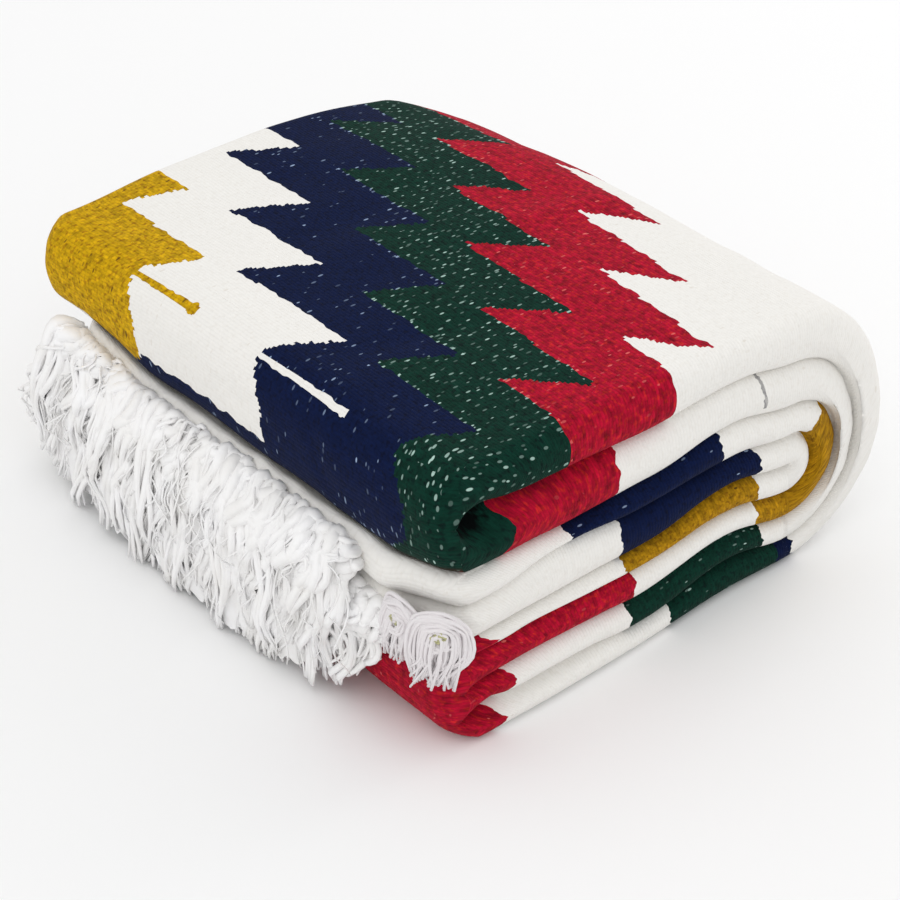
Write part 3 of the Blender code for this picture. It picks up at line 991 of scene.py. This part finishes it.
def fall_at(weft):
    """Reach, tip height and fan of the fringe at a place along the weft."""
    rows = list(zip(FALL, FALL[1:]))
    low, high = next(((low, high) for low, high in rows if weft <= high[0]), rows[-1])
    t = smooth(low[0], high[0], weft)
    reach, height, fan = [a + (b - a) * t for a, b in zip(low[1:], high[1:])]
    swell = noise.noise(Vector((weft * 62.0, 4.0, 0.0)))
    lift = max(0.0, noise.noise(Vector((weft * 85.0, 9.0, 0.0))))
    return reach * (1 + 0.20 * swell), height + 0.022 * lift, fan + 0.006 * swell


def spline(controls, steps):
    """Points on a smooth curve through the controls."""
    ends = [controls[0] * 2 - controls[1]] + controls + [controls[-1] * 2 - controls[-2]]
    points = []
    for step in range(steps + 1):
        at = step / steps * (len(controls) - 1)
        index = min(len(controls) - 2, int(at))
        t = at - index
        a, b, c, d = ends[index:index + 4]
        points.append(
            b + (c - a) * (0.5 * t) + (a * 2 - b * 5 + c * 4 - d) * (0.5 * t * t)
            + (b * 3 - a - c * 3 + d) * (0.5 * t**3)
        )
    return points


def fall_controls(root, reach, height, fan, lip, rise):
    """Controls of a lock that leaves its root level, turns over and falls to its tip."""
    drop = root.z - height
    return [
        root,
        root + Vector((-lip, -0.14 * fan, rise)),
        Vector((-lip - 0.72 * (reach - lip), root.y - 0.45 * fan, root.z - 0.15 * drop)),
        Vector((-reach * 1.04, root.y - 0.80 * fan, root.z - 0.52 * drop)),
        Vector((-reach * 0.96, root.y - fan, height)),
    ]


def wavy(rng, points, size, waves, phase, own):
    """Points moved by the waves of a clump, partly shared and partly a strand's own."""
    own_waves = waves * rng.uniform(0.8, 1.5)
    own_phase = rng.uniform(0, 2 * math.pi)
    moved = []
    for index, point in enumerate(points):
        t = index / (len(points) - 1)
        grow = size * smooth(0.05, 0.45, t)
        shared = 2 * math.pi * waves * t + phase
        alone = 2 * math.pi * own_waves * t + own_phase
        side = math.sin(shared) + own * math.sin(alone)
        out = math.cos(0.8 * shared) + own * math.cos(1.1 * alone)
        moved.append(point + Vector((0.6 * grow * out, grow * side, 0.35 * grow * out)))
    return moved


def add_tube(bm, points, radius, tip, lumps, sides=LOCK_SIDES, flat=0.86):
    """A soft tube of yarn along the points, uneven in thickness and thin at its tip."""
    rings = []
    yarn = bm.loops.layers.float_vector["yarn"]
    lengths = [0.0]
    for index, point in enumerate(points):
        before = points[max(0, index - 1)]
        after = points[min(len(points) - 1, index + 1)]
        lengths.append(lengths[-1] + (after - point).length)
        tangent = (after - before).normalized()
        first = tangent.cross(Vector((0.3, 1.0, 0.2))).normalized()
        second = tangent.cross(first)
        t = index / (len(points) - 1)
        size = radius + (tip - radius) * t**2.5
        size *= 0.55 + 0.45 * smooth(0.0, 0.16, t)
        size *= 1.0 + 0.16 * math.sin(lumps + 9.0 * t) * math.sin(2.3 * lumps + 23.0 * t)
        ring = []
        for corner in range(sides):
            angle = 2 * math.pi * corner / sides
            spread = first * (math.cos(angle) * flat) + second * math.sin(angle)
            place_at = point + spread * size
            place_at.z = max(place_at.z, 0.0002)
            ring.append(bm.verts.new(place_at))
        rings.append(ring)
    for index, (low, high) in enumerate(zip(rings, rings[1:])):
        for corner in range(sides):
            other = (corner + 1) % sides
            face = bm.faces.new((low[corner], low[other], high[other], high[corner]))
            around = (corner, corner + 1, corner + 1, corner)
            for loop, turn, at in zip(face.loops, around, (index, index, index + 1, index + 1)):
                loop[yarn] = (lengths[at], turn / sides, lumps)
    bm.faces.new(rings[0][::-1])
    bm.faces.new(rings[-1])


def fringe_material():
    """Soft white yarn, a little uneven in tone."""
    material, g = new_material("fringe_yarn", YARN_SHADER)
    where = g.node("ShaderNodeNewGeometry").outputs["Position"]
    length, around, mark = g.attribute("yarn")
    twist = around + length * 55.0
    ply = abs((twist * (3 * math.pi)).sine())
    along = g.combine(length * 260.0, twist * 7.0, mark)
    fibres = g.noise(along, 1.6, 3.0, 0.65) + ply * 0.35
    stops = list(zip((0.3, 0.7), map(linear, YARN_COLOURS)))
    colour, _ = g.ramp(g.noise(where, 60.0, 3.0), stops, "LINEAR")
    for first_mark, tint in ((TASSEL_YARN, TASSEL_COLOUR), (CORE_YARN, CORE_COLOUR)):
        colour = g.mix(mark > first_mark - 1.0, colour, linear(tint))
    g.surface(colour, fibres, 0.2, 0.0008)
    return material


def pass_span(name):
    """The lower and upper height of a pass at the fringe end."""
    column = PASS_COLUMNS.index(name)
    ends = pass_ends(0.0)
    return PILE_HEIGHT * (1 - ends[column]), PILE_HEIGHT * (1 - ends[column - 1])


def finish_piece(obj, replaced):
    """Seat a piece in the frame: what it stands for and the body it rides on."""
    obj.data.transform(Matrix.Translation(PILE_ORIGIN))
    obj.data.shade_smooth()
    if replaced:
        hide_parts(replaced)
    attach(obj, "root")
    return obj


def object_from(name, bm, material):
    mesh = bpy.data.meshes.new(name)
    bm.to_mesh(mesh)
    bm.free()
    mesh.materials.append(material)
    return new_object(name, mesh)


def join_lines(bm, lines, closed=False):
    """Faces between lines of points, which closed makes into rings."""
    for first, second in zip(lines, lines[1:]):
        for j in range(len(first) - 1):
            bm.faces.new((first[j], first[j + 1], second[j + 1], second[j]))
        if closed:
            bm.faces.new((first[-1], first[0], second[0], second[-1]))


def add_clump(rng, bm, weft, middle, half, front, layer, inward):
    """One clump of locks that share their waves and gather towards one tip."""
    reach, height, fan = fall_at(weft)
    y = PILE_WIDTH / 2 - weft
    fan += rng.uniform(-0.017, 0.013)
    reach = (reach - inward) * rng.uniform(0.74, 1.08) * (0.72 + 0.28 * layer)
    height = max(FLOOR_CLEARANCE, height + rng.choice((0.0, 0.0, 0.008, 0.022)) * rng.uniform(0.4, 1.0))
    lip = rng.uniform(0.005, 0.011)
    waves = rng.uniform(1.6, 3.4)
    phase = rng.uniform(0, 2 * math.pi)
    size = rng.uniform(0.0020, 0.0052)
    for strand in range(STRANDS):
        angle = 2 * math.pi * strand / STRANDS + phase
        level = middle + half * ((2 * layer - 1) * 0.9 + 0.28 * math.sin(angle))
        root = place(front + 0.0035, y + 0.0026 * math.cos(angle), level)
        rise = 0.0016 * layer + 0.0010 * math.sin(angle)
        controls = fall_controls(root, reach, height, fan, lip, rise)
        points = wavy(rng, spline(controls, LOCK_STEPS), size, waves, phase, 0.35)
        for index, point in enumerate(points):
            t = index / LOCK_STEPS
            apart = 0.0030 * (1 - 0.62 * smooth(0.30, 0.95, t)) * smooth(0.0, 0.2, t)
            point.x += 0.55 * apart * math.sin(angle)
            point.y += apart * math.cos(angle)
            point.z = max(point.z, FLOOR_CLEARANCE)
        wide = strand < WIDE_STRANDS
        thick = LOCK_RADIUS * (rng.uniform(1.8, 2.5) if wide else rng.uniform(0.55, 1.00))
        flat = 0.48 if wide else 0.80
        add_tube(bm, points, thick, thick * 0.44, rng.uniform(0, TURN), flat=flat)


def add_loose(rng, bm, weft, middle, half, front, inward):
    """A thin stray yarn that crosses the clumps."""
    reach, height, fan = fall_at(weft)
    root = place(front + 0.0015, PILE_WIDTH / 2 - weft, middle + half * rng.uniform(-0.4, 0.95))
    fan += rng.uniform(-0.022, 0.022)
    reach = (reach - inward) * rng.uniform(0.86, 1.12)
    height = max(FLOOR_CLEARANCE, height + rng.uniform(0.0, 0.026))
    lip = rng.uniform(0.005, 0.010)
    controls = fall_controls(root, reach, height, fan, lip, rng.uniform(0.001, 0.0035))
    phase = rng.uniform(0, 2 * math.pi)
    size = rng.uniform(0.0012, 0.0042)
    points = wavy(rng, spline(controls, LOCK_STEPS), size, rng.uniform(1.5, 3.8), phase, 0.8)
    for point in points:
        point.z = max(point.z, LOOSE_RADIUS)
    thick = LOOSE_RADIUS * rng.uniform(0.55, 1.15)
    add_tube(bm, points, thick, thick * 0.6, phase, LOOSE_SIDES)


def add_underlay(bm, middle, half, front):
    """The inner yarns of a fringe, which share one soft surface behind its locks."""
    lines = []
    for column in range(UNDERLAY_COLUMNS + 1):
        weft = FRINGE_START + (FRINGE_END - 0.006 - FRINGE_START) * column / UNDERLAY_COLUMNS
        reach, height, fan = fall_at(weft)
        root = place(front + 0.001, PILE_WIDTH / 2 - weft, middle)
        hem = 0.002 + 0.012 * max(0.0, noise.noise(Vector((weft * 130.0, 2.0, 5.0))))
        controls = fall_controls(root, reach - 0.0016, height + hem, fan, 0.006, 0.0)
        line = []
        for point in spline(controls, UNDERLAY_STEPS):
            ripple = noise.noise(Vector((point.y * 170.0, point.z * 30.0, 3.0)))
            line.append(bm.verts.new(point + Vector((0.0018 * ripple, 0.0, 0.0))))
        lines.append(line)
    join_lines(bm, lines)


def add_curl(rng, bm, x, weft, height, size, facing, lean):
    """A tassel of yarns that arch over one another round an olive core and gather as they hang down."""
    middle = Vector((x, PILE_WIDTH / 2 - weft, height))
    across = Vector((math.sin(facing), -math.cos(facing), 0.0))
    outward = Vector((-math.cos(facing), -math.sin(facing), 0.0))

    def add_yarn(shape, thick, mark=TASSEL_YARN, steps=LOCK_STEPS + 6):
        controls = []
        for side, up, out in shape:
            controls.append(middle + across * side + outward * out + Vector((0.0, 0.0, up)))
        points = wavy(rng, spline(controls, steps), 0.0006, 2.2, rng.uniform(0, TURN), 0.9)
        add_tube(bm, points, thick, thick * 0.7, mark + rng.uniform(0, TURN))

    def arch(wide, high, out, turns):
        """Controls round an arch at turns, in degrees from its crown, each with its share of out."""
        return [
            (wide * math.sin(math.radians(turn)), high * wide * math.cos(math.radians(turn)), out * inward)
            for turn, inward in turns
        ]

    for ring, strands in TASSEL_RINGS:
        for _ in range(strands):
            wide = size * ring * rng.uniform(0.90, 1.10)
            out = 0.0082 - 0.0034 * ring + rng.uniform(0.0, 0.0030)
            high = rng.uniform(0.62, 0.90)
            left, right = (rng.uniform(1.25, 2.05) * size for _ in range(2))
            left_tip, right_tip = (
                size * (lean + side + rng.uniform(-0.42, 0.42)) for side in (-0.32, 0.30)
            )
            shift = lean * size * 0.25
            shape = [(left_tip, -left, out), (shift - 0.97 * wide, -0.72 * size, out * 1.2)]
            shape += arch(wide, high, out, TASSEL_ARCH)
            shape += [(shift + 0.97 * wide, -0.66 * size, out * 1.2), (right_tip, -right, out)]
            add_yarn(shape, LOCK_RADIUS * rng.uniform(0.46, 0.66))
    for _ in range(TASSEL_MIDDLE):
        side = size * rng.uniform(-0.60, 0.60)
        out = rng.uniform(0.0050, 0.0088)
        shape = [(side * 0.6, 0.15 * size, out * 0.5), (side, -0.15 * size, out)]
        shape += [(side, -0.7 * size, out * 1.1), (side + lean * size, -size * rng.uniform(1.35, 2.05), out)]
        add_yarn(shape, LOCK_RADIUS * rng.uniform(0.55, 0.85))
    for _ in range(TASSEL_LOOPS):
        wide = size * rng.uniform(0.34, 0.56)
        shape = arch(wide, 0.8, rng.uniform(0.0090, 0.0108), TASSEL_LOOP)
        add_yarn(shape, LOCK_RADIUS * rng.uniform(0.45, 0.60))
    for _ in range(TASSEL_CORES):
        shape = [
            (size * rng.uniform(-0.24, 0.24), size * rng.uniform(-0.08, 0.26), rng.uniform(0.0088, 0.0106))
            for _ in range(4)
        ]
        add_yarn(shape, LOCK_RADIUS * 0.42, CORE_YARN, 10)


def add_fringe(name, material, end_pass, front, inward, layers):
    low, high = pass_span(end_pass)
    middle = (low + high) / 2
    half = (high - low) / 2
    rng = random.Random(name)
    bm, wisps = bmesh.new(), bmesh.new()
    for made in (bm, wisps):
        made.loops.layers.float_vector.new("yarn")
    for layer in layers:
        for index in range(CLUMPS):
            weft = FRINGE_START + (FRINGE_END - FRINGE_START) * (index + rng.uniform(0.1, 0.9)) / CLUMPS
            add_clump(rng, bm, weft, middle, half, front, layer, inward)
    if end_pass == "d":
        for _ in range(CORNER_CLUMPS):
            weft = rng.uniform(FRINGE_END, CURLS[0][1] - 0.012)
            add_clump(rng, bm, weft, middle, half, front, 0.3, inward)
        for curl in CURLS:
            add_curl(rng, bm, *curl)
    else:
        add_underlay(bm, middle, half, front)
        for _ in range(WISPS):
            add_loose(rng, wisps, rng.uniform(FRINGE_START, FRINGE_END), middle, half, front, inward)
    pieces = [finish_piece(object_from(name + "_yarn", bm, material), name)]
    if wisps.faces:
        pieces.append(finish_piece(object_from(name + "_wisps", wisps, material), None))
    return pieces


HEADING_DEPTH = 0.026    # how deep in the slot a woven end starts
HEADING_STEPS = 14
HEADING_WAVE = 0.0012
HEADING_PUFF = 0.0052    # how far the upper woven end swells up towards the fold above it
HEADING_WEFT = (0.024, 0.309)
HEADING_NOSE = 0.0085    # how long the round front of a woven end is
HEADING_COUNT = 170


def add_heading(name, end_pass, front, material):
    """A woven end in the slot, folded in four, with the fringe tied to its edge."""
    low, high = pass_span(end_pass)
    half = (high - low) / 2 - 0.0005
    middle = (low + high) / 2
    puff = HEADING_PUFF if end_pass == "c" else 0.0
    bm = bmesh.new()
    lines = []
    for i in range(HEADING_COUNT + 1):
        share = i / HEADING_COUNT
        y = PILE_WIDTH / 2 - HEADING_WEFT[0] - (HEADING_WEFT[1] - HEADING_WEFT[0]) * share
        end = smooth(0.86, 1.0, share) + 1 - smooth(0.0, 0.08, share)
        wave = noise.noise(Vector((y * 38.0, middle * 50.0, 0.0))) + 0.35 * math.sin(y * 230.0)
        edge = front + HEADING_WAVE * wave + HEADING_NOSE * end
        swell = 0.0011 * noise.noise(Vector((y * 60.0, 7.0, middle * 50.0)))
        back = edge + HEADING_NOSE
        section = [(HEADING_DEPTH + (back - HEADING_DEPTH) * j / 5, half) for j in range(5)]
        for j in range(HEADING_STEPS + 1):
            angle = math.pi * (0.5 - j / HEADING_STEPS)
            round_off = 1 - math.cos(angle) ** 0.8 if abs(angle) < 1.57 else 1.0
            section.append((edge + HEADING_NOSE * round_off, half * math.sin(angle)))
        section.append((HEADING_DEPTH, -half))
        line = []
        for x, z in section:
            lift = puff * math.exp(-(((x - edge - 0.0050) / 0.0062) ** 2)) * max(0.0, z / half)
            rise = lift * (1 - end) + swell * (x < HEADING_DEPTH)
            line.append(bm.verts.new(place(x, y, middle + z) + Vector((0.0, 0.0, rise))))
        lines.append(line)
    join_lines(bm, lines, closed=True)
    bm.faces.new(lines[0][::-1])
    bm.faces.new(lines[-1])
    bmesh.ops.recalc_face_normals(bm, faces=bm.faces)
    return finish_piece(object_from(name, bm, material), None)


def heading_material():
    """Plain white weave for the woven ends."""
    material, g = new_material("heading_cloth", CLOTH_SHADER)
    x, y, z = g.separate(g.node("ShaderNodeNewGeometry").outputs["Position"])
    given = {"Yarn": yarn_level("white"), "Warp": x - z, "Weft": y, "Flecks": 1.0}
    woven = g.node("ShaderNodeGroup", given, node_tree=WOVEN_YARN).outputs
    g.surface(woven["Color"], woven["Height"], 0.5, BUMP)
    return material


def add_floor():
    bpy.ops.mesh.primitive_plane_add(size=FLOOR_SIZE)
    floor = bpy.context.object
    floor.name = "floor"
    floor.data.materials.append(new_material("floor", FLOOR_SHADER)[0])


def add_light(name, place_of, target, size, power):
    data = bpy.data.lights.new(name, "AREA")
    data.size = size
    data.energy = power
    obj = new_object(name, data)
    obj.location = place_of
    obj.rotation_euler = (Vector(target) - Vector(place_of)).to_track_quat("-Z", "Y").to_euler()


def add_studio():
    scene = bpy.context.scene
    world = bpy.data.worlds.new("studio")
    scene.world = world
    world.use_nodes = True
    background = world.node_tree.nodes["Background"]
    background.inputs["Color"].default_value = (1, 1, 1, 1)
    background.inputs["Strength"].default_value = SKY_STRENGTH
    for light in LIGHTS:
        add_light(*light)
    scene.view_settings.view_transform = "Standard"
    camera = bpy.data.cameras.new("camera")
    camera.lens = CAMERA_LENS
    camera.sensor_width = SENSOR_WIDTH
    obj = new_object("camera", camera)
    obj.location = PILE_ORIGIN + Vector(CAMERA_PLACE)
    obj.rotation_euler = (math.radians(90 - CAMERA_ELEVATION), 0, math.radians(CAMERA_AZIMUTH))
    scene.camera = obj


add_studio()
add_floor()
cloth = add_cloth()
yarn = fringe_material()
fringes = [piece for name, shape in FRINGES.items() for piece in add_fringe(name, yarn, **shape)]
plain = heading_material()
for name, shape in FRINGES.items():
    fringes.append(add_heading(name.replace("fringe", "heading"), shape["end_pass"], shape["front"], plain))
